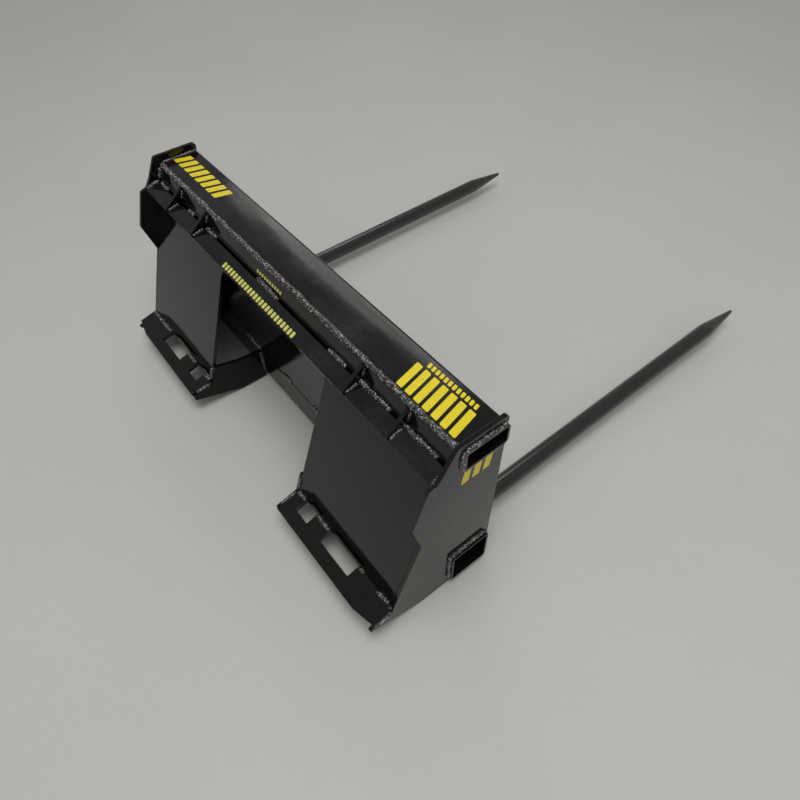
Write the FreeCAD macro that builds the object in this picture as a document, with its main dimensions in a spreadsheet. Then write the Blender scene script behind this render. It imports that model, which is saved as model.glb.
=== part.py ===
import FreeCAD, Part
import os
import re
import Sketcher
from FreeCAD import Placement, Rotation, Vector

# Bale spear frame with two spears for a skid-steer quick attach.
# X runs across the frame, Y forward to the spear tips and Z up.
# The origin is the middle of the hook crease, where the hook bar meets the quick-attach plate.

doc = FreeCAD.newDocument("BaleSpear")
sheet = doc.addObject("Spreadsheet::Sheet", "Sizes")

driving = [
    ("insideWidth", 1143.0, "between the inner faces of the side plates"),
    ("plateThickness", 9.5, "plate stock of frame and quick attach"),
    ("weldGap", 0.3, "play of a tube in its cut-out"),
    ("frontEdge", 118.6, "front edge of the side plates and face of the top tube"),
    ("sideTop", 62.0, "top edge of the side plates"),
    ("footDepth", 81.0, "flat bottom edge below the foot of the plate"),
    ("sideFlat", 60.0, "rear end of the flat bottom edge"),
    ("tailLength", 59.3, "side plates and gussets behind the foot of the plate"),
    ("tailFace", 6.8, "height of the tail end of a side plate"),
    ("tailRound", 5.0, "rounding of the tail corners"),
    ("sideRound", 10.0, "rounding of the front corners of the side plates"),
    ("earLowDrop", 187.0, "depth where the ear leaves the plate line"),
    ("earRear", 91.0, "rear corner of the ear"),
    ("earRearDrop", 104.0, "depth of the rear corner of the ear"),
    ("earTop", 58.0, "top corner of the ear"),
    ("earTopDrop", 14.0, "depth of the top corner of the ear"),
    ("earRound", 7.0, "rounding of the ear corners"),
    ("throatRear", 40.0, "rear end of the throat step"),
    ("throatDrop", 8.0, "depth of the throat step"),
    ("cheekRear", 25.0, "foot of the cheek slope"),
    ("cheekFoot", 12.0, "height of the foot of the cheek slope"),
    ("cheekTop", 57.0, "height where the cheek slope ends"),
    ("topTubeDepth", 101.6, "front to back size of the top tube"),
    ("topTubeHeight", 50.8, "height of the top tube"),
    ("topTubeTop", 42.0, "top face of the top tube"),
    ("topTubeProud", 6.0, "top tube beyond the side plates"),
    ("lowTubeSize", 101.6, "outside of the square lower tube"),
    ("lowTubeRear", 10.0, "rear face of the lower tube"),
    ("lowTubeLift", 20.4, "lower tube above the flat bottom edge"),
    ("lowTubeProud", 10.0, "lower tube beyond the side plates"),
    ("tubeWall", 4.8, "wall of both tubes"),
    ("tubeRound", 8.0, "outside corner radius of both tubes"),
    ("sheetThickness", 6.4, "back sheet"),
    ("sheetTop", 0.5, "upper edge of the back sheet"),
    ("plateTilt", 20.5, "lean of the quick-attach plate, degrees"),
    ("plateReach", 404.7, "crease to ledge along the plate"),
    ("plateTop", 36.0, "top edge of the quick-attach plate"),
    ("legWidth", 351.5, "leg of the quick-attach plate"),
    ("windowDrop", 60.0, "depth of the head of the window"),
    ("windowRound", 20.0, "corner radius of the window"),
    ("hookSlope", 14.0, "slope of the hook bar, degrees"),
    ("hookWidth", 38.0, "width of the hook bar"),
    ("ribInset", 123.5, "outer rib from the side plate"),
    ("ribPitch", 134.0, "between the two ribs of a pair"),
    ("ribRise", 34.0, "rib up the plate"),
    ("ribNose", 5.0, "blunt ends of a rib"),
    ("ledgeSlope", 13.6, "slope of the lock ledges, degrees"),
    ("ledgeDepth", 64.0, "lock ledge behind the plate"),
    ("ledgeCut", 60.0, "outer corner cut of a ledge, along the width"),
    ("ledgeCutDepth", 13.0, "outer corner cut of a ledge, along the depth"),
    ("slotDepth", 32.0, "depth of the lock slots"),
    ("slotInset", 111.5, "large slot from the side plate"),
    ("largeSlot", 105.0, "length of the large slot"),
    ("slotBridge", 55.0, "ledge left between the two slots"),
    ("smallSlot", 44.0, "length of the small slot"),
    ("gussetStep", 4.0, "gusset edge below the top of the ledge"),
    ("gussetLift", 5.0, "gussets above the flat bottom edge"),
    ("gussetHead", 18.0, "gusset edge at the tube, below the top of the tube"),
    ("gussetMid", 55.0, "first corner of the gusset edge"),
    ("gussetMidFall", 13.0, "first corner below the top of the tube"),
    ("gussetKnee", 86.0, "second corner of the gusset edge"),
    ("gussetKneeFall", 5.0, "second corner below the top of the tube"),
    ("gussetRise", 7.0, "gusset tip above the top of the tube"),
    ("spearInset", 76.5, "spear axis from the side plate"),
    ("spearDiameter", 44.45, "body of a spear"),
    ("spearLength", 1245.0, "spear from tail to tip"),
    ("spearPoint", 130.0, "length of the point"),
    ("spearNose", 9.0, "blunt end of the point, across"),
    ("spearBlend", 160.0, "blend of body and point"),
    ("threadLength", 44.0, "threaded shank behind the sleeve"),
    ("taperSmall", 31.0, "small end of the tail taper, across"),
    ("shankDiameter", 28.0, "threaded shank"),
    ("shankChamfer", 2.0, "lead of the shank"),
    ("sleeveDiameter", 57.0, "outside of the weld-in sleeve"),
    ("sleeveProud", 6.2, "sleeve beyond the lower tube at both ends"),
    ("sleeveLand", 14.0, "straight mouth of the sleeve bore"),
    ("sleeveEdge", 2.0, "outside chamfer of the sleeve"),
    ("taperGap", 0.2, "play of the spear in its sleeve"),
    ("shankGap", 0.3, "play of washer and nut on the shank"),
    ("washerDiameter", 52.0, "washer"),
    ("washerThickness", 5.0, "washer"),
    ("nutAcross", 42.0, "nut across flats"),
    ("nutHeight", 24.0, "nut"),
    ("nutChamfer", 2.2, "corner chamfer of the nut"),
]
for row, (alias, value, note) in enumerate(driving, start=1):
    sheet.set(f"A{row}", note)
    sheet.set(f"B{row}", str(value))
    sheet.setAlias(f"B{row}", alias)
doc.recompute()


def over(text):
    return re.sub(r"\b([a-z]+[A-Z]\w*)", r"Sizes.\1", text)


def worth(text):
    found = sheet.evalExpression(over(text))
    return float(getattr(found, "Value", found))


# Points in the side view, as pairs of formulas for Y and Z.

def onRear(drop):
    return (f"-({drop}) * tan(plateTilt)", f"-({drop})")


def onFront(height):
    return f"({height}) * tan(plateTilt) + plateThickness / cos(plateTilt)"


def onLedge(back, up):
    y = f"-plateReach * sin(plateTilt) - ({back}) * cos(ledgeSlope) - ({up}) * sin(ledgeSlope)"
    z = f"-plateReach * cos(plateTilt) - ({back}) * sin(ledgeSlope) + ({up}) * cos(ledgeSlope)"
    return (y, z)


def onHook(back, up):
    y = f"-({back}) * cos(hookSlope) - ({up}) * sin(hookSlope)"
    z = f"-({back}) * sin(hookSlope) + ({up}) * cos(hookSlope)"
    return (y, z)


def atTail(below):
    fall = f"tailLength * tan(ledgeSlope) + ({below}) / cos(ledgeSlope)"
    return ("-plateReach * sin(plateTilt) - tailLength", f"-plateReach * cos(plateTilt) - ({fall})")


# Bodies, sketches and features.

def newBody(name):
    body = doc.addObject("PartDesign::Body", name)
    body.Label = name
    return body


def originPlane(body, role):
    return next(item for item in body.Origin.OriginFeatures if item.Role == role)


def newSketch(body, name, role, shift=None):
    sketch = body.newObject("Sketcher::SketchObject", name)
    sketch.AttachmentSupport = [(originPlane(body, role), "")]
    sketch.MapMode = "FlatFace"
    if shift:
        sketch.setExpression("AttachmentOffset.Base.z", over(shift))
    return sketch


def pinned(sketch, geometry, point, axis, text):
    value = worth(text)
    if abs(value) < 1e-9:
        line = -2 if axis == "X" else -1
        sketch.addConstraint(Sketcher.Constraint("PointOnObject", geometry, point, line))
        return
    kind = "Distance" + axis
    if value > 0:
        rule = Sketcher.Constraint(kind, -1, 1, geometry, point, value)
    else:
        rule = Sketcher.Constraint(kind, geometry, point, -1, 1, -value)
        text = f"-({text})"
    index = sketch.addConstraint(rule)
    label = f"at{axis}{index}"
    sketch.renameConstraint(index, label)
    sketch.setExpression(f"Constraints.{label}", over(text))


def addLoop(sketch, corners):
    spots = [Vector(worth(u), worth(v), 0) for u, v in corners]
    first = sketch.GeometryCount
    count = len(spots)
    for i in range(count):
        sketch.addGeometry(Part.LineSegment(spots[i], spots[(i + 1) % count]), False)
    for i in range(count):
        follower = first + (i + 1) % count
        sketch.addConstraint(Sketcher.Constraint("Coincident", first + i, 2, follower, 1))
    for i, (u, v) in enumerate(corners):
        pinned(sketch, first + i, 1, "X", u)
        pinned(sketch, first + i, 1, "Y", v)


def addCircle(sketch, centre, radius):
    middle = Vector(worth(centre[0]), worth(centre[1]), 0)
    index = sketch.addGeometry(Part.Circle(middle, Vector(0, 0, 1), worth(radius)), False)
    rule = sketch.addConstraint(Sketcher.Constraint("Radius", index, worth(radius)))
    label = f"radius{rule}"
    sketch.renameConstraint(rule, label)
    sketch.setExpression(f"Constraints.{label}", over(radius))
    pinned(sketch, index, 3, "X", centre[0])
    pinned(sketch, index, 3, "Y", centre[1])


def addPad(body, sketch, name, length, middle=False, back=False):
    pad = body.newObject("PartDesign::Pad", name)
    pad.Profile = sketch
    pad.setExpression("Length", over(length))
    if middle:
        pad.Midplane = True
    pad.Reversed = back
    sketch.Visibility = False
    doc.recompute()
    return pad


def addPocket(body, sketch, name, length):
    pocket = body.newObject("PartDesign::Pocket", name)
    pocket.Profile = sketch
    pocket.setExpression("Length", over(length))
    pocket.Midplane = True
    sketch.Visibility = False
    doc.recompute()
    return pocket


def addTurn(body, kind, name, sketch):
    turn = body.newObject(f"PartDesign::{kind}", name)
    turn.Profile = sketch
    turn.ReferenceAxis = (sketch, ["V_Axis"])
    turn.Angle = 360.0
    sketch.Visibility = False
    doc.recompute()
    return turn


def edgesAcross(feature, spots):
    wanted = [(worth(y), worth(z)) for y, z in spots]
    names = []
    for index, edge in enumerate(feature.Shape.Edges, start=1):
        a = edge.Vertexes[0].Point
        b = edge.Vertexes[-1].Point
        if abs(a.y - b.y) + abs(a.z - b.z) > 1e-6 or abs(a.x - b.x) < 1e-6:
            continue
        if any(abs(a.y - y) + abs(a.z - z) < 0.01 for y, z in wanted):
            names.append(f"Edge{index}")
    return names


def addRound(body, kind, name, base, edges, size):
    if not edges:
        raise ValueError(f"no edges for {name}")
    dress = body.newObject(f"PartDesign::{kind}", name)
    dress.Base = (base, edges)
    dress.setExpression("Radius" if kind == "Fillet" else "Size", over(size))
    doc.recompute()
    return dress


# Faces that several pieces share.

topRear = "frontEdge - topTubeDepth"
topBottom = "topTubeTop - topTubeHeight"
footLevel = "-plateReach * cos(plateTilt) - footDepth"
lowFront = "lowTubeRear + lowTubeSize"
lowBottom = f"{footLevel} + lowTubeLift"
lowTop = f"{lowBottom} + lowTubeSize"
bothAngles = "plateTilt + ledgeSlope"
tailEnd = atTail("plateThickness + tailFace")
windowHalf = "(insideWidth / 2 - legWidth)"

# Side plates, one at each end, cut out for both tubes.

for hand, sign in (("left", "-"), ("right", "")):
    body = newBody(f"side_plate_{hand}")
    sketch = newSketch(body, f"side_outline_{hand}", "YZ_Plane", f"{sign}(insideWidth + plateThickness) / 2")
    addLoop(sketch, [
        ("frontEdge", "sideTop"),
        ("frontEdge", "topTubeTop + weldGap"),
        (f"{topRear} - weldGap", "topTubeTop + weldGap"),
        (f"{topRear} - weldGap", f"{topBottom} - weldGap"),
        ("frontEdge", f"{topBottom} - weldGap"),
        ("frontEdge", footLevel),
        ("-sideFlat", footLevel),
        tailEnd,
        atTail("plateThickness"),
        onLedge(f"plateThickness * tan({bothAngles})", "-plateThickness"),
        onRear("earLowDrop"),
        ("-earRear", "-earRearDrop"),
        ("-earTop", "-earTopDrop"),
        ("-throatRear", "-throatDrop"),
        ("-cheekRear", "cheekFoot"),
        ("-weldGap", "cheekTop"),
        ("plateThickness / 2", "sideTop"),
    ])
    slab = addPad(body, sketch, f"side_slab_{hand}", "plateThickness", middle=True)
    sketch = newSketch(body, f"side_window_{hand}", "YZ_Plane", f"{sign}(insideWidth + plateThickness) / 2")
    opening = [
        ("lowTubeRear - weldGap", f"{lowTop} + weldGap"),
        (f"{lowFront} + weldGap", f"{lowTop} + weldGap"),
        (f"{lowFront} + weldGap", f"{lowBottom} - weldGap"),
        ("lowTubeRear - weldGap", f"{lowBottom} - weldGap"),
    ]
    addLoop(sketch, opening)
    cut = addPocket(body, sketch, f"side_opening_{hand}", "4 * plateThickness")
    corners = edgesAcross(cut, opening)
    eased = addRound(body, "Fillet", f"side_opening_round_{hand}", cut, corners, "tubeRound")
    corners = edgesAcross(eased, [("frontEdge", "sideTop"), ("frontEdge", footLevel)])
    eased = addRound(body, "Fillet", f"side_front_round_{hand}", eased, corners, "sideRound")
    corners = edgesAcross(eased, [tailEnd])
    eased = addRound(body, "Fillet", f"side_tail_round_{hand}", eased, corners, "tailRound")
    corners = edgesAcross(eased, [("-earRear", "-earRearDrop"), ("-earTop", "-earTopDrop")])
    addRound(body, "Fillet", f"side_ear_round_{hand}", eased, corners, "earRound")

# Top and lower tubes, open at both ends.

def addTube(name, rear, top, depth, height, length):
    body = newBody(name)
    outside = [
        (rear, top),
        (f"{rear} + {depth}", top),
        (f"{rear} + {depth}", f"{top} - {height}"),
        (rear, f"{top} - {height}"),
    ]
    inside = [
        (f"{rear} + tubeWall", f"{top} - tubeWall"),
        (f"{rear} + {depth} - tubeWall", f"{top} - tubeWall"),
        (f"{rear} + {depth} - tubeWall", f"{top} - {height} + tubeWall"),
        (f"{rear} + tubeWall", f"{top} - {height} + tubeWall"),
    ]
    sketch = newSketch(body, f"{name}_outside", "YZ_Plane")
    addLoop(sketch, outside)
    bar = addPad(body, sketch, f"{name}_bar", length, middle=True)
    bar = addRound(body, "Fillet", f"{name}_round", bar, edgesAcross(bar, outside), "tubeRound")
    sketch = newSketch(body, f"{name}_inside", "YZ_Plane")
    addLoop(sketch, inside)
    bar = addPocket(body, sketch, f"{name}_hollow", f"{length} + 2 * tubeWall")
    bar = addRound(body, "Fillet", f"{name}_inner_round", bar, edgesAcross(bar, inside), "tubeRound - tubeWall")
    return body


overPlates = "insideWidth + 2 * plateThickness"
addTube("top_tube", topRear, "topTubeTop", "topTubeDepth", "topTubeHeight", f"{overPlates} + 2 * topTubeProud")
body = addTube("lower_tube", "lowTubeRear", lowTop, "lowTubeSize", "lowTubeSize", f"{overPlates} + 2 * lowTubeProud")
spearSide = "(insideWidth / 2 - spearInset)"
spearLevel = f"{lowBottom} + tubeWall + weldGap + sleeveDiameter / 2"
sketch = newSketch(body, "sleeve_holes", "XZ_Plane")
for sign in ("-", ""):
    addCircle(sketch, (f"{sign}{spearSide}", spearLevel), "sleeveDiameter / 2 + taperGap")
addPocket(body, sketch, "lower_tube_holes", f"2 * ({lowFront}) + 2 * plateThickness")

# Back sheet between the tubes.

body = newBody("back_sheet")
sketch = newSketch(body, "sheet_outline", "YZ_Plane")
addLoop(sketch, [
    (f"{topRear} - sheetThickness", "sheetTop"),
    (topRear, "sheetTop"),
    (topRear, lowTop),
    (f"{topRear} - sheetThickness", lowTop),
])
addPad(body, sketch, "sheet_pad", "insideWidth", middle=True)

# Quick-attach plate, bevelled onto the top tube and the ledges, with two legs.

body = newBody("quick_attach_plate")
sketch = newSketch(body, "attach_outline", "YZ_Plane")
addLoop(sketch, [
    onRear("-plateTop"),
    (topRear, "plateTop"),
    (topRear, f"({topRear} - plateThickness / cos(plateTilt)) / tan(plateTilt)"),
    onLedge(f"-plateThickness / cos({bothAngles})", "0"),
    onLedge("0", "0"),
])
addPad(body, sketch, "attach_pad", "insideWidth", middle=True)
sketch = newSketch(body, "attach_window", "XZ_Plane")
addLoop(sketch, [
    (f"-{windowHalf}", "-windowDrop"),
    (windowHalf, "-windowDrop"),
    (windowHalf, "-plateReach"),
    (f"-{windowHalf}", "-plateReach"),
])
cut = addPocket(body, sketch, "attach_legs", "2 * plateReach")
names = []
for index, edge in enumerate(cut.Shape.Edges, start=1):
    a = edge.Vertexes[0].Point
    b = edge.Vertexes[-1].Point
    inCorner = abs(abs(a.x) - worth(windowHalf)) < 0.01 and abs(a.z + worth("windowDrop")) < 0.01
    if inCorner and abs(a.x - b.x) < 1e-6 and abs(a.z - b.z) < 1e-6:
        names.append(f"Edge{index}")
addRound(body, "Fillet", "attach_window_round", cut, names, "windowRound")

# Hook bar with its lower front edge against the plate.

grooveWidth = "plateThickness * tan(plateTilt + hookSlope)"
body = newBody("hook_bar")
sketch = newSketch(body, "hook_outline", "YZ_Plane")
addLoop(sketch, [
    onHook(grooveWidth, "0"),
    onHook(f"{grooveWidth} + hookWidth", "0"),
    onHook(f"{grooveWidth} + hookWidth", "-plateThickness"),
    onHook(grooveWidth, "-plateThickness"),
])
addPad(body, sketch, "hook_pad", "insideWidth", middle=True)

# Four ribs standing on the hook bar against the plate.

ribOuter = "(insideWidth / 2 - ribInset)"
ribInner = "(insideWidth / 2 - ribInset - ribPitch)"
ribPlaces = [f"-{ribOuter}", f"-{ribInner}", ribInner, ribOuter]
for number, place in enumerate(ribPlaces, start=1):
    body = newBody(f"hook_rib_{number}")
    sketch = newSketch(body, f"rib_outline_{number}", "YZ_Plane", place)
    addLoop(sketch, [
        ("0", "0"),
        ("ribRise * sin(plateTilt)", "ribRise * cos(plateTilt)"),
        (
            "ribRise * sin(plateTilt) - ribNose * cos(plateTilt)",
            "ribRise * cos(plateTilt) + ribNose * sin(plateTilt)",
        ),
        onHook(f"{grooveWidth} + hookWidth", "ribNose"),
        onHook(f"{grooveWidth} + hookWidth", "0"),
    ])
    addPad(body, sketch, f"rib_pad_{number}", "plateThickness", middle=True)

# Lock ledges with their slots, sloping to the rear from the foot of the plate.
# Each is drawn flat about the junction line and turned to its slope.

for hand, sign in (("left", "-"), ("right", "")):
    body = newBody(f"lock_ledge_{hand}")
    body.Placement = Placement(Vector(0, 0, 0), Rotation(Vector(1, 0, 0), worth("ledgeSlope")))
    body.setExpression("Placement.Base.y", over("-plateReach * sin(plateTilt)"))
    body.setExpression("Placement.Base.z", over("-plateReach * cos(plateTilt)"))
    body.setExpression("Placement.Rotation.Angle", over("ledgeSlope"))
    outer = "insideWidth / 2 + plateThickness"
    stepBack = f"-plateThickness * tan({bothAngles}) - weldGap"
    toe = f"plateThickness / cos({bothAngles})"
    sketch = newSketch(body, f"ledge_outline_{hand}", "XY_Plane")
    addLoop(sketch, [
        (f"{sign}{windowHalf}", toe),
        (f"{sign}insideWidth / 2", toe),
        (f"{sign}insideWidth / 2", stepBack),
        (f"{sign}({outer})", stepBack),
        (f"{sign}({outer})", "-ledgeDepth + ledgeCutDepth"),
        (f"{sign}({outer} - ledgeCut)", "-ledgeDepth"),
        (f"{sign}{windowHalf}", "-ledgeDepth"),
    ])
    smallInset = "slotInset + largeSlot + slotBridge"
    for inset, length in (("slotInset", "largeSlot"), (smallInset, "smallSlot")):
        far = f"{sign}(insideWidth / 2 - ({inset}))"
        near = f"{sign}(insideWidth / 2 - ({inset}) - {length})"
        addLoop(sketch, [
            (near, "0"),
            (far, "0"),
            (far, "-slotDepth"),
            (near, "-slotDepth"),
        ])
    addPad(body, sketch, f"ledge_pad_{hand}", "plateThickness", back=True)

# Gussets from the lower tube to the inner edges of the plate legs.

for hand, sign in (("left", "-"), ("right", "")):
    body = newBody(f"ledge_gusset_{hand}")
    sketch = newSketch(body, f"gusset_outline_{hand}", "YZ_Plane", f"{sign}({windowHalf} - plateThickness / 2)")
    addLoop(sketch, [
        ("lowTubeRear", f"{lowTop} - gussetHead"),
        ("-gussetMid", f"{lowTop} - gussetMidFall"),
        ("-gussetKnee", f"{lowTop} - gussetKneeFall"),
        onRear(f"-({lowTop} + gussetRise)"),
        onLedge(f"gussetStep * tan({bothAngles})", "-gussetStep"),
        atTail("gussetStep"),
        tailEnd,
        ("-sideFlat - plateThickness", f"{footLevel} + gussetLift"),
        ("lowTubeRear", f"{footLevel} + gussetLift"),
    ])
    slab = addPad(body, sketch, f"gusset_slab_{hand}", "plateThickness", middle=True)
    corners = edgesAcross(slab, [tailEnd])
    addRound(body, "Fillet", f"gusset_tail_round_{hand}", slab, corners, "tailRound")

# Spears with their sleeves, washers and nuts.
# Each is turned about its own Y axis and set at the spear axis.

def turnedBody(name, sign):
    body = newBody(name)
    body.setExpression("Placement.Base.x", over(f"{sign}{spearSide}"))
    body.setExpression("Placement.Base.z", over(spearLevel))
    return body


def circlesAt(feature, reach, radius):
    names = []
    for index, edge in enumerate(feature.Shape.Edges, start=1):
        curve = edge.Curve
        if not isinstance(curve, Part.Circle):
            continue
        if abs(curve.Center.y - worth(reach)) < 0.01 and abs(curve.Radius - worth(radius)) < 0.01:
            names.append(f"Edge{index}")
    return names


sleeveRear = "lowTubeRear - sleeveProud"
sleeveFront = f"{lowFront} + sleeveProud"
taperEnd = f"{sleeveFront} - sleeveLand"
spearTail = f"{sleeveRear} - threadLength"
spearTip = f"{spearTail} + spearLength"
for hand, sign in (("left", "-"), ("right", "")):
    body = turnedBody(f"spear_{hand}", sign)
    sketch = newSketch(body, f"spear_section_{hand}", "XY_Plane")
    addLoop(sketch, [
        ("0", spearTail),
        ("shankDiameter / 2", spearTail),
        ("shankDiameter / 2", sleeveRear),
        ("taperSmall / 2", sleeveRear),
        ("spearDiameter / 2", taperEnd),
        ("spearDiameter / 2", f"{spearTip} - spearPoint"),
        ("spearNose / 2", spearTip),
        ("0", spearTip),
    ])
    bar = addTurn(body, "Revolution", f"spear_turned_{hand}", sketch)
    rings = circlesAt(bar, f"{spearTip} - spearPoint", "spearDiameter / 2")
    bar = addRound(body, "Fillet", f"spear_blend_{hand}", bar, rings, "spearBlend")
    rings = circlesAt(bar, spearTip, "spearNose / 2")
    bar = addRound(body, "Fillet", f"spear_nose_{hand}", bar, rings, "spearNose / 2 - weldGap")
    rings = circlesAt(bar, spearTail, "shankDiameter / 2")
    addRound(body, "Chamfer", f"spear_lead_{hand}", bar, rings, "shankChamfer")

    body = turnedBody(f"spear_sleeve_{hand}", sign)
    sketch = newSketch(body, f"sleeve_section_{hand}", "XY_Plane")
    addLoop(sketch, [
        ("taperSmall / 2 + taperGap", sleeveRear),
        ("sleeveDiameter / 2 - sleeveEdge", sleeveRear),
        ("sleeveDiameter / 2", f"{sleeveRear} + sleeveEdge"),
        ("sleeveDiameter / 2", f"{sleeveFront} - sleeveEdge"),
        ("sleeveDiameter / 2 - sleeveEdge", sleeveFront),
        ("spearDiameter / 2 + taperGap", sleeveFront),
        ("spearDiameter / 2 + taperGap", taperEnd),
    ])
    addTurn(body, "Revolution", f"sleeve_turned_{hand}", sketch)

    body = turnedBody(f"spear_washer_{hand}", sign)
    sketch = newSketch(body, f"washer_section_{hand}", "XY_Plane")
    addLoop(sketch, [
        ("shankDiameter / 2 + shankGap", f"{sleeveRear} - washerThickness"),
        ("washerDiameter / 2", f"{sleeveRear} - washerThickness"),
        ("washerDiameter / 2", sleeveRear),
        ("shankDiameter / 2 + shankGap", sleeveRear),
    ])
    addTurn(body, "Revolution", f"washer_turned_{hand}", sketch)

    body = turnedBody(f"spear_nut_{hand}", sign)
    sketch = newSketch(body, f"nut_outline_{hand}", "XZ_Plane", f"washerThickness - ({sleeveRear})")
    addLoop(sketch, [
        ("nutAcross / 2", "nutAcross / 2 * tan(30)"),
        ("0", "nutAcross / 2 / cos(30)"),
        ("-nutAcross / 2", "nutAcross / 2 * tan(30)"),
        ("-nutAcross / 2", "-nutAcross / 2 * tan(30)"),
        ("0", "-nutAcross / 2 / cos(30)"),
        ("nutAcross / 2", "-nutAcross / 2 * tan(30)"),
    ])
    addPad(body, sketch, f"nut_pad_{hand}", "nutHeight")
    sketch = newSketch(body, f"nut_bore_{hand}", "XZ_Plane")
    addCircle(sketch, ("0", "0"), "shankDiameter / 2 + shankGap")
    addPocket(body, sketch, f"nut_hole_{hand}", "4 * nutHeight")
    sketch = newSketch(body, f"nut_corners_{hand}", "XY_Plane")
    nearFace = f"{sleeveRear} - washerThickness"
    farFace = f"{nearFace} - nutHeight"
    wide = "nutAcross / 2 / cos(30)"
    addLoop(sketch, [
        ("nutAcross / 2", nearFace),
        (f"{wide} + nutChamfer", nearFace),
        (f"{wide} + nutChamfer", f"{nearFace} - nutChamfer * 1.4"),
    ])
    addLoop(sketch, [
        ("nutAcross / 2", farFace),
        (f"{wide} + nutChamfer", farFace),
        (f"{wide} + nutChamfer", f"{farFace} + nutChamfer * 1.4"),
    ])
    addTurn(body, "Groove", f"nut_edges_{hand}", sketch)

# Checks, then one STEP file for each body.

doc.recompute()
for item in doc.Objects:
    if "Invalid" in item.State or "Error" in item.State:
        raise RuntimeError(f"{item.Name} is in state {item.State}")
os.makedirs("parts", exist_ok=True)
for body in doc.findObjects("PartDesign::Body"):
    shape = body.Shape
    if shape.isNull() or not shape.isValid() or len(shape.Solids) != 1:
        raise RuntimeError(f"{body.Label} has no single valid solid")
    box = shape.BoundBox
    print(f"{body.Label:22s} {shape.Volume / 1000:9.2f} cm3  x {box.XMin:8.2f} {box.XMax:8.2f}"
          f"  y {box.YMin:8.2f} {box.YMax:8.2f}  z {box.ZMin:8.2f} {box.ZMax:8.2f}")
    shape.exportStep(f"parts/{body.Label}.step")
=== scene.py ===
import bpy
import math
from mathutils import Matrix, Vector, noise


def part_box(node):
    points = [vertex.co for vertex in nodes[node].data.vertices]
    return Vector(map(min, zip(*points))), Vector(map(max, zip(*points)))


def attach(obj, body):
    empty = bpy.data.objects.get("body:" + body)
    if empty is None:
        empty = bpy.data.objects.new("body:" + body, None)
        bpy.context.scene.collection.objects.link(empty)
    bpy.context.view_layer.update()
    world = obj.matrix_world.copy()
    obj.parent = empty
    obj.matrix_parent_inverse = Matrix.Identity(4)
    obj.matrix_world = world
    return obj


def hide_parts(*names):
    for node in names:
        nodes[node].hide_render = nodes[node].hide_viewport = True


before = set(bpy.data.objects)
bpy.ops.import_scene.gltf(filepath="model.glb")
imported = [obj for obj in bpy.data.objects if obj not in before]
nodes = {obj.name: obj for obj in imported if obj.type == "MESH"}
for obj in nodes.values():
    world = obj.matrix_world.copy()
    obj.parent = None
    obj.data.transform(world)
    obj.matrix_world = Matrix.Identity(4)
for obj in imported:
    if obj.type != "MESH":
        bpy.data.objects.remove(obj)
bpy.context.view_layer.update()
mm = 0.001
print("frame loaded:", len(nodes), "nodes")

# Boxes that the beads and marks are placed from.
sideLow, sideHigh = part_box("side_plate_right")
topLow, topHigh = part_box("top_tube")
lowLow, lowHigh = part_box("lower_tube")
sheetLow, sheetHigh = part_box("back_sheet")
gussetLow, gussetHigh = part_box("ledge_gusset_right")
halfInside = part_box("quick_attach_plate")[1].x
halfOutside = sideHigh.x
footZ = sideLow.z

# The lines of the attach face in the side view.
lines = {
    "plateTilt": math.radians(20.5),
    "hookSlope": math.radians(14.0),
    "ledgeSlope": math.radians(13.6),
    "plateReach": 404.7 * mm,
}


def onPlate(drop, out=0.0):
    # Y and Z of a point on the plate's rear face, drop below the crease
    lean = lines["plateTilt"]
    y = -drop * math.sin(lean) - out * math.cos(lean)
    z = -drop * math.cos(lean) + out * math.sin(lean)
    return y, z


def onHook(back, up=0.0):
    # the same on the top of the hook bar, back from the crease
    slope = lines["hookSlope"]
    y = -back * math.cos(slope) - up * math.sin(slope)
    z = -back * math.sin(slope) + up * math.cos(slope)
    return y, z


def onLedge(back, up=0.0):
    # the same on the top of a ledge, back from the foot of the plate
    slope = lines["ledgeSlope"]
    y, z = onPlate(lines["plateReach"])
    y -= back * math.cos(slope) + up * math.sin(slope)
    z -= back * math.sin(slope) - up * math.cos(slope)
    return y, z


class Wire:
    # one output socket that can be used in sums
    def __init__(self, board, socket):
        self.board = board
        self.socket = socket

    def joined(self, operation, first, second):
        return self.board.add("ShaderNodeMath", {"operation": operation}, {0: first, 1: second})

    def __add__(self, other):
        return self.joined("ADD", self, other)

    def __radd__(self, other):
        return self.joined("ADD", other, self)

    def __sub__(self, other):
        return self.joined("SUBTRACT", self, other)

    def __rsub__(self, other):
        return self.joined("SUBTRACT", other, self)

    def __mul__(self, other):
        return self.joined("MULTIPLY", self, other)

    def __rmul__(self, other):
        return self.joined("MULTIPLY", other, self)


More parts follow.
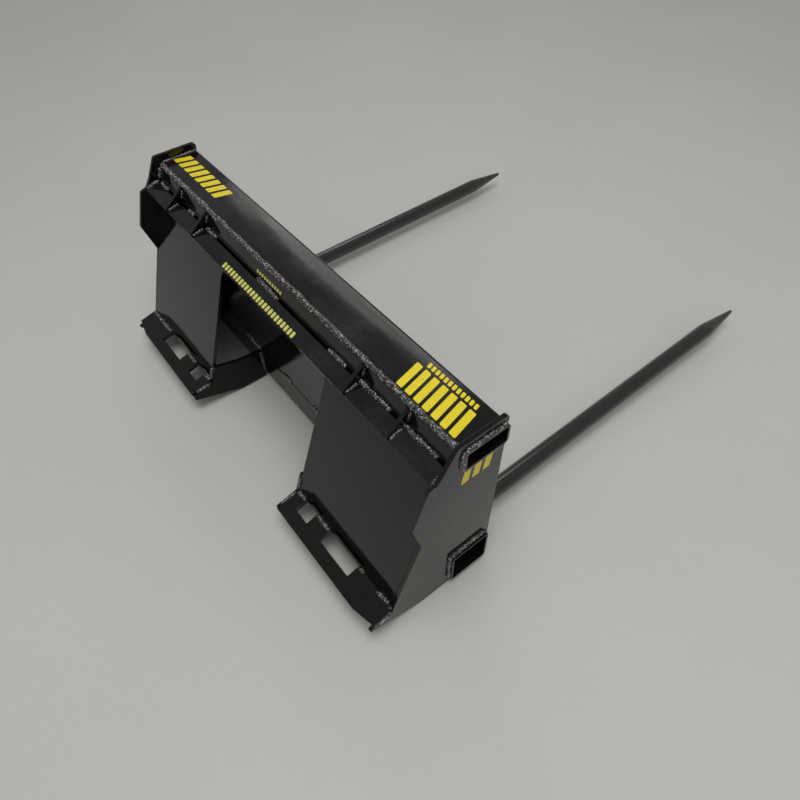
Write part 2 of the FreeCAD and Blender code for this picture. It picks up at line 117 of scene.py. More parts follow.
class Board:
    # the node tree of one material
    def __init__(self, name):
        self.material = bpy.data.materials.new(name)
        self.material.use_nodes = True
        self.tree = self.material.node_tree
        self.tree.nodes.clear()
        places = self.node("ShaderNodeTexCoord")
        self.place = Wire(self, places.outputs["Object"])
        self.facing = Wire(self, places.outputs["Normal"])

    def node(self, kind, settings=None, inputs=None):
        node = self.tree.nodes.new(kind)
        for key, value in (settings or {}).items():
            if key == "stops":
                self.setStops(node.color_ramp, value)
            else:
                setattr(node, key, value)
        for key, value in (inputs or {}).items():
            if isinstance(value, Wire):
                self.tree.links.new(value.socket, node.inputs[key])
            else:
                node.inputs[key].default_value = value
        return node

    def add(self, kind, settings=None, inputs=None, out=0):
        return Wire(self, self.node(kind, settings, inputs).outputs[out])

    def setStops(self, ramp, stops):
        while len(ramp.elements) < len(stops):
            ramp.elements.new(0.5)
        for element, (position, shade) in zip(ramp.elements, stops):
            element.position = position
            element.color = (shade, shade, shade, 1)

    def noise(self, scale, detail=2.0, rough=0.5, stretch=None):
        place = self.place
        if stretch:
            place = self.add("ShaderNodeMapping", {}, {"Vector": place, "Scale": stretch})
        return self.add("ShaderNodeTexNoise", {}, {
            "Vector": place,
            "Scale": scale,
            "Detail": detail,
            "Roughness": rough,
        })

    def ramp(self, source, stops):
        return self.add("ShaderNodeValToRGB", {"stops": stops}, {"Fac": source})

    def blotches(self, look):
        return self.ramp(self.noise(*look["noise"]), look["stops"])

    def mixed(self, factor, first, second):
        colours = {0: factor, 6: first, 7: second}
        return self.add("ShaderNodeMix", {"data_type": "RGBA"}, colours, out=2)

    def axis(self, vector, number):
        return self.add("ShaderNodeSeparateXYZ", {}, {0: vector}, out=number)

    def bump(self, height, distance, normal=None):
        inputs = {"Height": height, "Distance": distance, "Strength": 1.0}
        if normal:
            inputs["Normal"] = normal
        return self.add("ShaderNodeBump", {}, inputs)

    def finish(self, inputs):
        shader = self.add("ShaderNodeBsdfPrincipled", {}, inputs)
        self.node("ShaderNodeOutputMaterial", {}, {"Surface": shader})
        return self.material


def grey(level, warm=0.0):
    return (level + warm, level, level - warm, 1)


paint = {
    "patches": {"noise": (7.0, 4.0, 0.62), "stops": ((0.42, 0.0), (0.72, 1.0))},
    "specks": {"noise": (620.0, 2.0, 0.6), "stops": ((0.60, 0.0), (0.74, 1.0))},
    "haze": {"noise": (95.0, 5.0, 0.7), "stops": ((0.35, 0.15), (0.75, 1.0))},
    "scuffs": {
        "noise": (1.0, 3.0, 0.6, (60.0, 340.0, 340.0)),
        "stops": ((0.68, 0.0), (0.72, 1.0)),
    },
    "upward": ((0.35, 0.0), (0.95, 1.0)),  # how level a face is before dust lies on it
    "dustOnSides": 0.08,
    "dustOnTops": 0.92,
    "dustInPatches": 0.55,
    "dustInSpecks": 0.5,
    "film": (0.00175, 0.00375),  # darkest and palest black of the film
    "filmNoise": (14.0, 3.0),
    "dustShade": (0.11, 0.02),
    "dustCover": 0.35,
    "scuffShade": 0.16,
    "scuffCover": 0.22,
    "roughness": 0.06,
    "dustRoughness": 0.22,
    "scuffRoughness": 0.25,
    "patchRoughness": 0.04,
    "waveNoise": (1.0, 1.5, 0.4),
    "waveScale": 9.0,
    "waveDepth": 1.0 * mm,
    "peelNoise": (420.0, 2.0),
    "peelDepth": 0.04 * mm,
}


def blackPaint(name, gloss=1.0, dust=1.0, wave=1.0, peel=1.0, along=(1, 1, 1), bend=1.46):
    # glossy black enamel with settled dust, dull patches and a slightly wavy film
    board = Board(name)
    upward = board.ramp(board.axis(board.facing, 2), paint["upward"])
    patches = board.blotches(paint["patches"])
    specks = board.blotches(paint["specks"])
    haze = board.blotches(paint["haze"])
    lying = paint["dustOnSides"] + upward * paint["dustOnTops"]
    spread = patches * haze * paint["dustInPatches"] + specks * paint["dustInSpecks"]
    settled = lying * spread * dust
    scuffs = board.blotches(paint["scuffs"]) * patches
    darkest, palest = paint["film"]
    shade = board.mixed(board.noise(*paint["filmNoise"]), grey(darkest), grey(palest))
    shade = board.mixed(settled * paint["dustCover"], shade, grey(*paint["dustShade"]))
    shade = board.mixed(scuffs * paint["scuffCover"], shade, grey(paint["scuffShade"]))
    dull = (
        paint["roughness"] * gloss
        + settled * paint["dustRoughness"]
        + scuffs * paint["scuffRoughness"]
        + patches * paint["patchRoughness"]
    )
    stretch = tuple(paint["waveScale"] * part for part in along)
    wavy = board.noise(*paint["waveNoise"], stretch)
    rolled = board.bump(wavy, paint["waveDepth"] * wave)
    peeled = board.bump(board.noise(*paint["peelNoise"]), paint["peelDepth"] * peel, rolled)
    return board.finish({
        "Base Color": shade,
        "Roughness": dull,
        "IOR": bend,
        "Normal": peeled,
    })


bead = {
    "drops": (260.0, 3.0, 0.6),
    # The crest ramp, its cover and the pale second shade make painted glints: pale flecks on the
    # ripple crests in place of highlights.
    "paintedGlintStops": ((0.55, 0.0), (0.61, 1.0)),
    "paintedGlintCover": 0.85,
    "shades": (0.004, 0.55),
    "dropDepth": 3.5 * mm,
    "grain": (900.0, 2.0),
    "grainDepth": 0.4 * mm,
    "roughness": 0.10,
    "dropRoughness": 0.10,
}


def beadPaint(name):
    # the same enamel over a rippled weld, with pale flecks on the crests as painted glints
    board = Board(name)
    drops = board.noise(*bead["drops"])
    # pale flecks on the ripple crests are painted glints, not a colour of the weld
    paintedGlintMask = board.ramp(drops, bead["paintedGlintStops"])
    black, paintedGlintGrey = bead["shades"]
    spatter = board.bump(drops, bead["dropDepth"])
    return board.finish({
        "Base Color": board.mixed(paintedGlintMask * bead["paintedGlintCover"], grey(black), grey(paintedGlintGrey)),
        "Roughness": bead["roughness"] + drops * bead["dropRoughness"],
        "IOR": 1.6,
        "Coat Weight": 1.0,
        "Coat Roughness": 0.05,
        "Normal": board.bump(board.noise(*bead["grain"]), bead["grainDepth"], spatter),
    })


forging = {
    "streaks": (1.0, 4.0, 0.6, (150.0, 5.0, 150.0)),
    "rubbed": {"noise": (70.0, 5.0, 0.7), "stops": ((0.46, 0.0), (0.62, 1.0))},
    "wearFrom": 1.02,  # Y where the point starts to be rubbed
    "wearTo": 1.2,
    "shades": (0.008, 0.018),
    "steel": (0.11, 0.004),
    "wearCover": 0.55,
    "pits": (230.0, 4.0, 0.6),
    "pitDepth": 0.25 * mm,
    "streakDepth": 0.5 * mm,
    "roughness": 0.15,
    "streakRoughness": 0.10,
    "wearRoughness": 0.2,
}


def forgedPaint(name):
    # enamel over forged bar: drawn streaks along the bar and a rubbed point
    board = Board(name)
    streaks = board.noise(*forging["streaks"])
    reach = board.axis(board.place, 1)
    worn = board.add("ShaderNodeMapRange", {}, {
        "Value": reach,
        "From Min": forging["wearFrom"],
        "From Max": forging["wearTo"],
    })
    rubbed = board.blotches(forging["rubbed"]) * worn
    dark, pale = forging["shades"]
    shade = board.mixed(streaks, grey(dark), grey(pale))
    shade = board.mixed(rubbed * forging["wearCover"], shade, grey(*forging["steel"]))
    pitted = board.bump(board.noise(*forging["pits"]), forging["pitDepth"])
    dull = (
        forging["roughness"]
        + streaks * forging["streakRoughness"]
        + rubbed * forging["wearRoughness"]
    )
    return board.finish({
        "Base Color": shade,
        "Roughness": dull,
        "IOR": 1.55,
        "Coat Weight": 0.4,
        "Coat Roughness": 0.06,
        "Normal": board.bump(streaks, forging["streakDepth"], pitted),
    })


vinyl = {
    "yellow": ((0.80, 0.62, 0.006, 1), (0.90, 0.74, 0.012, 1)),
    "cream": ((0.58, 0.56, 0.12, 1), (0.72, 0.70, 0.18, 1)),
    "uneven": (55.0, 4.0, 0.6),
    "nicks": {"noise": (300.0, 3.0, 0.6), "stops": ((0.66, 0.0), (0.70, 1.0))},
    "nickShade": 0.02,
    "nickCover": 0.8,
    "roughness": 0.32,
    "unevenRoughness": 0.12,
    "unevenDepth": 0.2 * mm,
}


def markVinyl(name, shades):
    # cut vinyl, a little uneven and nicked
    board = Board(name)
    uneven = board.noise(*vinyl["uneven"])
    nicks = board.blotches(vinyl["nicks"])
    shade = board.mixed(uneven, *shades)
    shade = board.mixed(nicks * vinyl["nickCover"], shade, grey(vinyl["nickShade"]))
    return board.finish({
        "Base Color": shade,
        "Roughness": vinyl["roughness"] + uneven * vinyl["unevenRoughness"],
        "Coat Weight": 0.1,
        "Coat Roughness": 0.1,
        "Normal": board.bump(uneven, vinyl["unevenDepth"]),
    })


ground = {
    "cloud": (1.6, 5.0, 0.6),
    "cloudShare": 0.7,
    "grain": (60.0, 3.0, 0.6),
    "grainShare": 0.3,
    "shades": ((0.57, 0.555, 0.515, 1), (0.66, 0.645, 0.605, 1)),
    "roughness": 0.75,
    "grainRoughness": 0.15,
    "grainDepth": 0.6 * mm,
}


def paleFloor(name):
    board = Board(name)
    cloud = board.noise(*ground["cloud"])
    grain = board.noise(*ground["grain"])
    mottle = cloud * ground["cloudShare"] + grain * ground["grainShare"]
    return board.finish({
        "Base Color": board.mixed(mottle, *ground["shades"]),
        "Roughness": ground["roughness"] + grain * ground["grainRoughness"],
        "Normal": board.bump(grain, ground["grainDepth"]),
    })


enamel = blackPaint("black_enamel")
tubeEnamel = blackPaint(
    "black_enamel_tube", gloss=1.1, dust=0.9, wave=0.5, along=(0.4, 2.2, 2.2)
)
sideEnamel = blackPaint("black_enamel_side", gloss=1.2, dust=0.8)
legEnamel = blackPaint("black_enamel_plate", gloss=0.8, dust=0.4, wave=0.3)
# Enamel with a lower IOR (1.32) that reflects less: painted shade that darkens the recessed back
# sheet, ledge gussets and lower tube where shadow falls.
paintedShadeEnamel = blackPaint("black_enamel_painted_shade", gloss=1.6, dust=0.5, wave=0.5, bend=1.32)
nutEnamel = blackPaint("black_enamel_nut", gloss=2.2, dust=0.8, peel=2.0)
weldEnamel = beadPaint("black_enamel_weld")
spearEnamel = forgedPaint("black_enamel_spear")
yellowVinyl = markVinyl("yellow_vinyl", vinyl["yellow"])
creamVinyl = markVinyl("cream_vinyl", vinyl["cream"])
print("finishes made")


def onlySelect(piece):
    bpy.ops.object.select_all(action="DESELECT")
    piece.select_set(True)
    bpy.context.view_layer.objects.active = piece


def editAll(piece):
    onlySelect(piece)
    bpy.ops.object.mode_set(mode="EDIT")
    bpy.ops.mesh.select_all(action="SELECT")


def applied(piece, kind, name, **settings):
    onlySelect(piece)
    modifier = piece.modifiers.new(name, kind)
    for key, value in settings.items():
        setattr(modifier, key, value)
    bpy.ops.object.modifier_apply(modifier=name)


def dressed(piece, material, replaces=None, smooth=30):
    # smooth is the angle in degrees below which edges are shaded round
    piece.data.materials.clear()
    piece.data.materials.append(material)
    onlySelect(piece)
    bpy.ops.object.shade_smooth_by_angle(angle=math.radians(smooth))
    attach(piece, "root")
    if replaces:
        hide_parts(replaces)


skin = {
    "merge": 0.005 * mm,
    "flat": math.radians(0.4),
    "bevelFrom": math.radians(30),
    "segments": 2,
    "plateEdge": 1.1 * mm,
    "tubeEdge": 0.7 * mm,
    "ribEdge": 0.9 * mm,
    "turnedEdge": 0.5 * mm,
    "plateSmooth": 32,
    "turnedSmooth": 40,
}


def softened(names, width, material, smooth):
    # merged copies of the solids with broken edges, in place of their nodes
    for name in names:
        piece = bpy.data.objects.new(f"{name}_skin", nodes[name].data.copy())
        bpy.context.scene.collection.objects.link(piece)
        editAll(piece)
        bpy.ops.mesh.remove_doubles(threshold=skin["merge"])
        bpy.ops.mesh.dissolve_limited(angle_limit=skin["flat"])
        bpy.ops.mesh.customdata_custom_splitnormals_clear()
        bpy.ops.object.mode_set(mode="OBJECT")
        if width:
            applied(
                piece,
                "BEVEL",
                "Edges",
                width=width,
                segments=skin["segments"],
                limit_method="ANGLE",
                angle_limit=skin["bevelFrom"],
            )
        dressed(piece, material, name, smooth)
        applied(piece, "WEIGHTED_NORMAL", "Normals", keep_sharp=True)


def pair(name):
    return [f"{name}_left", f"{name}_right"]


def softenedFrame(names, edge, material):
    softened(names, skin[edge], material, skin["plateSmooth"])


ribs = [f"hook_rib_{number}" for number in range(1, 5)]
nutsAndWashers = pair("spear_washer") + pair("spear_nut")
softenedFrame(pair("side_plate"), "plateEdge", sideEnamel)
softenedFrame(["quick_attach_plate"], "plateEdge", legEnamel)
softenedFrame(pair("lock_ledge") + ["hook_bar"], "plateEdge", enamel)
# The ledge gussets and back sheet here, and the lower tube below, take the less reflective enamel
# as painted shade.
softenedFrame(pair("ledge_gusset") + ["back_sheet"], "plateEdge", paintedShadeEnamel)
softenedFrame(ribs, "ribEdge", enamel)
softenedFrame(["top_tube"], "tubeEdge", tubeEnamel)
softenedFrame(["lower_tube"], "tubeEdge", paintedShadeEnamel)
turned = skin["turnedSmooth"]
softened(pair("spear"), 0, spearEnamel, turned)
softened(pair("spear_sleeve"), skin["turnedEdge"], enamel, turned)
softened(nutsAndWashers, skin["turnedEdge"], nutEnamel, turned)
print("solids softened")

weld = {
    "ringStep": 1.0 * mm,
    "fewestRings": 8,
    "sides": 10,
    "ripple": 4.2 * mm,
    "rippleDepth": 0.24,
    "rippleLevel": 0.4,
    "bow": 0.22,  # how far a ripple's middle runs ahead, in ripples
    "lumpRate": 55,
    "lumpDepth": 0.22,
    "driftRate": 35,
    "drift": 1.0 * mm,
    "taper": 1.1,  # length of a closed end, in bead radii
    "merge": 0.02 * mm,
    "seam": 6.5 * mm,
    "crease": 5.4 * mm,
    "heavy": 5.0 * mm,
    "stitch": 4.8 * mm,
    "corner": 3.6 * mm,
    "rib": 2.6 * mm,
    "smooth": 50,
}


def weldBead(name, path, size, closed=False):
    # a rippled strand along a path, each ripple bowed like the rim of a coin
    lengths = [0.0]
    for a, b in zip(path, path[1:]):
        lengths.append(lengths[-1] + (b - a).length)
    total = lengths[-1]
    rings = max(weld["fewestRings"], round(total / weld["ringStep"]))
    bpy.ops.object.select_all(action="DESELECT")
    bpy.ops.mesh.primitive_grid_add(x_subdivisions=rings, y_subdivisions=weld["sides"], size=1)
    piece = bpy.context.active_object
    piece.name = name
    seed = Vector((sum(map(ord, name)) % 97, 3.7, 1.3))  # gives each bead lumps of its own
    tilted = Vector((0.31, 0.52, 0.79))  # along none of the paths
    for vertex in piece.data.vertices:
        travel = (vertex.co.x + 0.5) * total
        turn = (vertex.co.y + 0.5) * math.tau
        k = 1
        while k < len(lengths) - 1 and lengths[k] < travel:
            k += 1
        share = (travel - lengths[k - 1]) / (lengths[k] - lengths[k - 1])
        centre = path[k - 1].lerp(path[k], share)
        ahead = (path[k] - path[k - 1]).normalized()
        level = ahead.cross(tilted).normalized()
        rise = ahead.cross(level)
        saw = (travel / weld["ripple"] + weld["bow"] * math.cos(turn)) % 1.0
        swell = 1 + weld["rippleDepth"] * (saw * saw - weld["rippleLevel"])
        lump = noise.noise(seed + Vector((travel * weld["lumpRate"], 0, 0)))
        drift = noise.noise_vector(seed + Vector((0, travel * weld["driftRate"], 0)))
        end = 1.0
        if not closed:
            nearEnd = max(0.0, min(travel, total - travel))
            end = min(1.0, math.sqrt(nearEnd / (size * weld["taper"])))
        radius = size * swell * (1 + weld["lumpDepth"] * lump) * end
        around = level * math.cos(turn) + rise * math.sin(turn)
        vertex.co = centre + drift * weld["drift"] + around * radius
    editAll(piece)
    bpy.ops.mesh.remove_doubles(threshold=weld["merge"])
    bpy.ops.mesh.normals_make_consistent(inside=False)
    bpy.ops.object.mode_set(mode="OBJECT")
    dressed(piece, weldEnamel, smooth=weld["smooth"])


def acrossBead(name, place, spans, size):
    # stitches that run across the frame at one place of the side view
    for number, (start, stop) in enumerate(spans, start=1):
        ends = [Vector((x * mm, *place)) for x in (start, stop)]
        weldBead(f"{name}_{number}", ends, weld[size])


def sideBead(name, x, places, size):
    # a bead in the side view at one X
    weldBead(name, [Vector((x, y, z)) for y, z in places], weld[size])


def mirrored(spans):
    return [(-stop, -start) for start, stop in reversed(spans)] + spans


# Starts and stops in mm across the frame, and places in the side view.
inside = halfInside / mm
seams = {
    "topShort": 2,
    "top": (topLow.y - 1.0 * mm, topHigh.z - 3.6 * mm),
    "crease": onHook(3.0 * mm, 0.5 * mm),
    "creaseSpans": [
        (-560, -510), (-400, -370), (-300, -250), (-65, 26),
        (212, 274), (315, 412), (445, 543),
    ],
    "ledge": onLedge(1.5 * mm, 1.2 * mm),
    "ledgeSpans": [
        (-569, -464), (-352, -303), (-254, -222),
        (222, 254), (303, 352), (463, 482), (528, 569),
    ],
    "sheetFoot": (sheetLow.y + 1.0 * mm, sheetLow.z - 0.5 * mm),
    "sheetFootSpans": [(-285, -200), (-87, -42), (55, 122)],
    "sheetFront": (sheetHigh.y + 1.2 * mm, sheetLow.z + 1.2 * mm),
    "sheetHead": (sheetHigh.y + 2.0 * mm, topLow.z + 1.2 * mm),
    "sheetSpans": mirrored([(60, 150), (270, 360), (470, 560)]),
}
topSpan = (-inside + seams["topShort"], inside - seams["topShort"])
acrossBead("seam_top", seams["top"], [topSpan], "seam")
acrossBead("seam_crease", seams["crease"], seams["creaseSpans"], "crease")
acrossBead("seam_ledge", seams["ledge"], seams["ledgeSpans"], "crease")
acrossBead("seam_sheet_foot", seams["sheetFoot"], seams["sheetFootSpans"], "crease")
acrossBead("seam_sheet_front", seams["sheetFront"], seams["sheetSpans"], "corner")
acrossBead("seam_sheet_head", seams["sheetHead"], seams["sheetSpans"], "corner")
print("long seams laid")

proud = 1.0 * mm  # how far the middle of a bead stands off a face
joints = {
    "topFront": topHigh.y - 3 * mm,
    "topStart": topLow.y + 4 * mm,
    "topInsideZ": topHigh.z + 0.4 * mm,
    "topRound": 7 * mm,
    "topDrop": 6 * mm,
    "lowFoot": lowLow.z + 9 * mm,
    "lowRound": 7 * mm,
    "lowDrop": 8 * mm,
    "lowInside": (lowHigh.y - 8 * mm, sheetHigh.y + 6 * mm),
    "hookInset": 1.5 * mm,
    "hookEnd": [onHook(1 * mm, 1.5 * mm), onHook(22 * mm, 1 * mm), onHook(43 * mm, 0.5 * mm)],
    "cheekInset": 1.2 * mm,
    "cheek": [onPlate(-4 * mm, proud), onPlate(-34 * mm, proud)],
    "sheetSide": (footZ + 140 * mm, -30 * mm),
    "ledgeCorner": onLedge(3.0 * mm, 0),
    "ledgeCornerIn": 0.5,
    "ledgeCornerOut": 1.5,
    "ledgeCheekProud": 0.2 * mm,
    "ledgeCheek": [onLedge(12 * mm, -9.5 * mm), onLedge(47 * mm, -9.5 * mm)],
    "gussetInset": 3 * mm,
    "gussetTop": [onLedge(5 * mm, -2.5 * mm), onLedge(50 * mm, -2.5 * mm)],
    "gussetLeg": [onPlate(362 * mm, 0.4 * mm), onPlate(396 * mm, 0.4 * mm)],
    "gussetTubeTop": gussetHigh.z - 30 * mm,
}
topCollar = [
    (joints["topFront"], topHigh.z + proud),
    (topLow.y + joints["topRound"], topHigh.z + proud),
    (topLow.y, topHigh.z - joints["topDrop"]),
    (topLow.y - proud, topLow.z + joints["topRound"]),
    (topLow.y + joints["topRound"], topLow.z - proud),
    (joints["topFront"], topLow.z - proud),
]
lowCollar = [
    (lowHigh.y + proud, joints["lowFoot"]),
    (lowHigh.y + proud, lowHigh.z - joints["lowDrop"]),
    (lowHigh.y - joints["lowRound"], lowHigh.z + proud),
    (lowLow.y + joints["lowRound"], lowHigh.z + proud),
    (lowLow.y - proud, lowHigh.z - joints["lowRound"]),
    (lowLow.y - proud, joints["lowFoot"]),
]
topInside = [(joints[key], joints["topInsideZ"]) for key in ("topStart", "topFront")]
lowInside = [(y, lowHigh.z + proud) for y in joints["lowInside"]]
sheetSide = [(sheetHigh.y + proud, z) for z in joints["sheetSide"]]
gussetTube = [(lowLow.y - proud, z) for z in (joints["gussetTubeTop"], joints["lowFoot"])]

for hand, side in (("left", -1), ("right", 1)):
    near = side * halfInside
    far = side * halfOutside
    sideBead(f"weld_top_inside_{hand}", near - side * proud, topInside, "corner")
    sideBead(f"weld_top_collar_{hand}", far + side * proud, topCollar, "heavy")
    sideBead(f"weld_low_collar_{hand}", far + side * proud, lowCollar, "stitch")
    sideBead(f"weld_low_inside_{hand}", near - side * proud, lowInside, "corner")
    hookX = near - side * joints["hookInset"]
    sideBead(f"weld_hook_end_{hand}", hookX, joints["hookEnd"], "stitch")
    cheekX = near - side * joints["cheekInset"]
    sideBead(f"weld_cheek_{hand}", cheekX, joints["cheek"], "stitch")
    sideBead(f"weld_sheet_side_{hand}", near - side * proud, sheetSide, "corner")
    cornerStart = near / mm + side * joints["ledgeCornerIn"]
    cornerStop = far / mm - side * joints["ledgeCornerOut"]
    corner = [sorted((cornerStart, cornerStop))]
    acrossBead(f"weld_ledge_corner_{hand}", joints["ledgeCorner"], corner, "stitch")
    ledgeX = far + side * joints["ledgeCheekProud"]
    sideBead(f"weld_ledge_cheek_{hand}", ledgeX, joints["ledgeCheek"], "corner")
    gussetOut = side * gussetHigh.x
    gussetIn = side * gussetLow.x
    gussetX = gussetOut - side * joints["gussetInset"]
    sideBead(f"weld_gusset_top_{hand}", gussetX, joints["gussetTop"], "stitch")
    sideBead(f"weld_gusset_leg_{hand}", gussetOut, joints["gussetLeg"], "corner")
    for label, x in (("inner", gussetIn - side * proud), ("outer", gussetOut + side * proud)):
        sideBead(f"weld_gusset_tube_{label}_{hand}", x, gussetTube, "corner")
print("side welds laid")

# Each rib has a bead at its foot and one at its back, on both faces.
ribFoot = [onHook(9 * mm, proud), onHook(40 * mm, proud)]
ribBack = [onPlate(-8 * mm, proud), onPlate(-31 * mm, proud)]
for number, rib in enumerate(ribs, start=1):
    ribLow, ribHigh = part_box(rib)
    for label, x in (("near", ribHigh.x + proud), ("far", ribLow.x - proud)):
        sideBead(f"weld_rib_foot_{number}_{label}", x, ribFoot, "rib")
        sideBead(f"weld_rib_back_{number}_{label}", x, ribBack, "rib")

# Rings run round the sleeves, in front of the lower tube and behind it.
sleeveRing = {"steps": 40, "proud": 1.0 * mm, "offFace": 1.2 * mm}
for hand in ("left", "right"):
    sleeveLow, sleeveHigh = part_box(f"spear_sleeve_{hand}")
    middle = (sleeveLow + sleeveHigh) / 2
    radius = (sleeveHigh.x - sleeveLow.x) / 2 + sleeveRing["proud"]
    faces = {"front": lowHigh.y + sleeveRing["offFace"], "rear": lowLow.y - sleeveRing["offFace"]}
    for label, y in faces.items():
        ring = []
        for step in range(sleeveRing["steps"] + 1):
            angle = math.tau * step / sleeveRing["steps"]
            x = middle.x + radius * math.cos(angle)
            z = middle.z + radius * math.sin(angle)
            ring.append(Vector((x, y, z)))
        weldBead(f"weld_sleeve_{label}_{hand}", ring, weld["corner"], closed=True)
print("rib and sleeve welds laid")

thread = {
    "pitch": 3.0 * mm,
    "ridge": 0.52,  # radius of the ridge's three-sided section, in pitches
    "flatten": 0.8,
    "middle": 12.88 * mm,  # from the axis to the middle of that section
    "turns": 4,
    "steps": 40,
    "lead": 2.5 * mm,
}


def spearThread(hand):
    # a helical ridge on the tail of a spear, behind the nut
    low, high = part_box(f"spear_{hand}")
    centre = (low + high) / 2
    bpy.ops.object.select_all(action="DESELECT")
    bpy.ops.mesh.primitive_circle_add(vertices=3, radius=thread["pitch"] * thread["ridge"])
    piece = bpy.context.active_object
    piece.name = f"spear_thread_{hand}"
    for vertex in piece.data.vertices:
        out = thread["middle"] + vertex.co.y * thread["flatten"]
        vertex.co = Vector((out, 0, vertex.co.x))
    applied(
        piece,
        "SCREW",
        "Helix",
        axis="Z",
        screw_offset=thread["pitch"],
        iterations=thread["turns"],
        steps=thread["steps"],
        render_steps=thread["steps"],
        use_merge_vertices=True,
    )
    onlySelect(piece)
    bpy.ops.object.mode_set(mode="EDIT")
    bpy.ops.mesh.select_all(action="DESELECT")
    bpy.ops.mesh.select_non_manifold()
    bpy.ops.mesh.fill()
    bpy.ops.mesh.select_all(action="SELECT")
    bpy.ops.mesh.normals_make_consistent(inside=False)
    origin = (0, 0, 0)
    bpy.ops.transform.rotate(value=-math.pi / 2, orient_axis="X", center_override=origin)
    bpy.ops.object.mode_set(mode="OBJECT")
    start = min(vertex.co.y for vertex in piece.data.vertices)
    for vertex in piece.data.vertices:
        vertex.co += Vector((centre.x, low.y + thread["lead"] - start, centre.z))
    dressed(piece, spearEnamel)


for hand in ("left", "right"):
    spearThread(hand)
print("threads cut")

# Plain leaning bars in rows, in mm along the row and across it.
marks = {
    "lift": 0.25 * mm,
    "round": 2.5 * mm,
    "roundShare": 0.2,  # of a bar's pitch, at most
    "roundSteps": 3,
    "barFrom": 0.12,  # a bar's sides, as shares of the pitch
    "barTo": 0.80,
}
tubeRight = {"from": 384, "to": 548, "count": 7, "low": 24, "high": 86, "lean": -14}
tubeSmall = {"from": 396, "to": 530, "count": 12, "low": 91, "high": 103, "lean": -3}
tubeLeft = {"from": -562, "to": -326, "count": 8, "low": 48, "high": 91, "lean": 12}
barRow = {"from": -166, "to": 134, "count": 24, "low": 27, "high": 41, "lean": 3}
bandRow = {"from": -74, "to": 30, "count": 10, "low": 9, "high": 17, "lean": 1}
plateRow = {"from": 18, "to": 94, "count": 3, "low": -60, "high": -18, "lean": 6}


def slantBars(name, look, material, place):
    # place turns row, rise and lift into a point of the frame
    pitch = (look["to"] - look["from"]) / look["count"]
    for number in range(look["count"]):
        bpy.ops.object.select_all(action="DESELECT")
        bpy.ops.mesh.primitive_plane_add(size=1)
        piece = bpy.context.active_object
        piece.name = f"{name}_{number + 1}"
        for vertex in piece.data.vertices:
            edge = marks["barFrom"] if vertex.co.x < 0 else marks["barTo"]
            rise = look["low"] if vertex.co.y < 0 else look["high"]
            lean = look["lean"] * (0.5 if vertex.co.y > 0 else -0.5)
            row = look["from"] + (number + edge) * pitch + lean
            vertex.co = Vector((row * mm, rise * mm, 0))
        editAll(piece)
        rounding = min(marks["round"], pitch * mm * marks["roundShare"])
        bpy.ops.mesh.bevel(offset=rounding, segments=marks["roundSteps"], affect="VERTICES")
        bpy.ops.mesh.select_all(action="SELECT")
        lift = {"value": (0, 0, marks["lift"])}
        bpy.ops.mesh.extrude_region_move(TRANSFORM_OT_translate=lift)
        bpy.ops.object.mode_set(mode="OBJECT")
        for vertex in piece.data.vertices:
            vertex.co = place(*vertex.co)
        editAll(piece)
        bpy.ops.mesh.normals_make_consistent(inside=False)
        bpy.ops.object.mode_set(mode="OBJECT")
        dressed(piece, material)


def onTubeTop(row, rise, lift):
    return Vector((row, rise, topHigh.z + lift))


def onBarTop(row, rise, lift):
    return Vector((row, *onHook(rise, lift)))


def onPlateBand(row, rise, lift):
    return Vector((row, *onPlate(-rise, lift)))


def onSidePlate(row, rise, lift):
    return Vector((halfOutside + lift, row, rise))


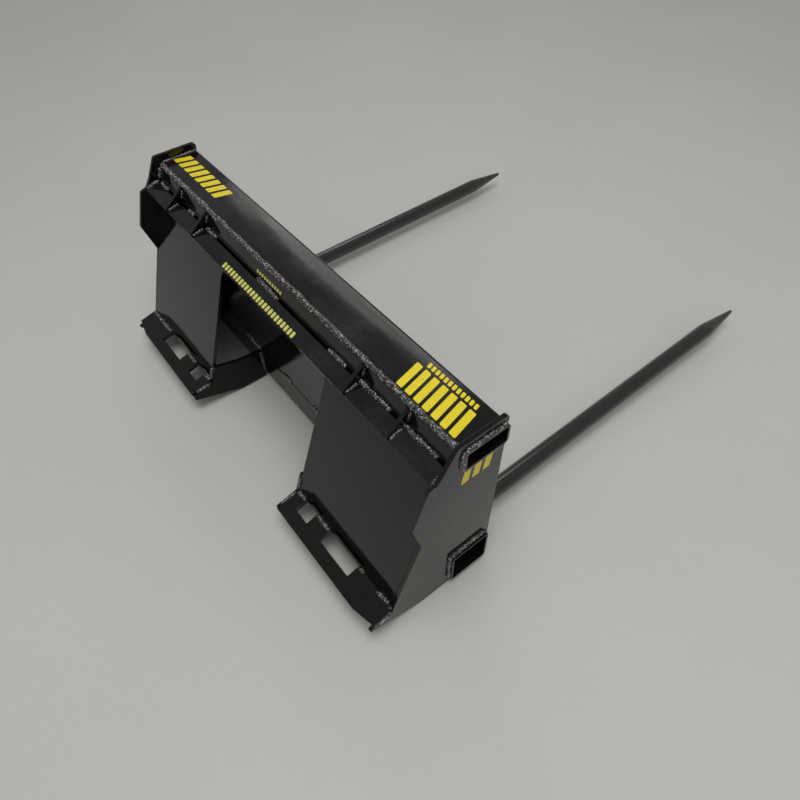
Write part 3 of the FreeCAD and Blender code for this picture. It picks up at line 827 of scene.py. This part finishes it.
slantBars("tube_mark_right", tubeRight, yellowVinyl, onTubeTop)
slantBars("tube_mark_small", tubeSmall, yellowVinyl, onTubeTop)
slantBars("tube_mark_left", tubeLeft, yellowVinyl, onTubeTop)
slantBars("bar_mark", barRow, creamVinyl, onBarTop)
slantBars("band_mark", bandRow, creamVinyl, onPlateBand)
slantBars("plate_mark", plateRow, yellowVinyl, onSidePlate)
print("marks placed")

floorSize = 14.0
bpy.ops.object.select_all(action="DESELECT")
bpy.ops.mesh.primitive_plane_add(size=floorSize)
floor = bpy.context.active_object
floor.name = "floor"
for vertex in floor.data.vertices:
    vertex.co.z = footZ
floor.data.materials.append(paleFloor("pale_floor"))

# Places, targets and sizes in metres, power in watts.
lights = {
    "key": {
        "place": (0.9, -0.3, 4.2),
        "aim": (0.3, 0.2, -0.3),
        "size": (2.6, 2.6),
        "power": 104.0,
    },
    "fill": {
        "place": (3.2, -2.8, 2.4),
        "aim": (0, 0, -0.3),
        "size": (2.4, 2.0),
        "power": 12.0,
    },
    "streak": {
        "place": (-4.6, 3.05, 4.2),
        "aim": (-4.6, 3.05, 0),
        "size": (5.0, 0.9),
        "power": 34.0,
    },
}
for name, look in lights.items():
    bpy.ops.object.light_add(type="AREA", location=look["place"])
    lamp = bpy.context.active_object
    lamp.name = name
    lamp.data.shape = "RECTANGLE"
    lamp.data.size, lamp.data.size_y = look["size"]
    lamp.data.energy = look["power"]
    toward = Vector(look["aim"]) - Vector(look["place"])
    lamp.rotation_euler = toward.to_track_quat("-Z", "Y").to_euler()

sky = {"colour": (0.93, 0.96, 1.0, 1), "strength": 0.30}
world = bpy.data.worlds.new("studio")
bpy.context.scene.world = world
world.use_nodes = True
background = world.node_tree.nodes["Background"]
background.inputs["Color"].default_value = sky["colour"]
background.inputs["Strength"].default_value = sky["strength"]

view = {
    "place": (0.9617, -0.3972, 0.8615),
    "turn": (39.14, 1.019, 51.648),
    "lens": 27.515,
    "sensor": 36.0,
    "clip": 0.05,
}
turn = [math.radians(angle) for angle in view["turn"]]
bpy.ops.object.camera_add(location=view["place"], rotation=turn)
camera = bpy.context.active_object
camera.data.lens = view["lens"]
camera.data.sensor_width = view["sensor"]
camera.data.clip_start = view["clip"]
bpy.context.scene.camera = camera
bpy.context.scene.view_settings.view_transform = "Standard"
print("stage set")
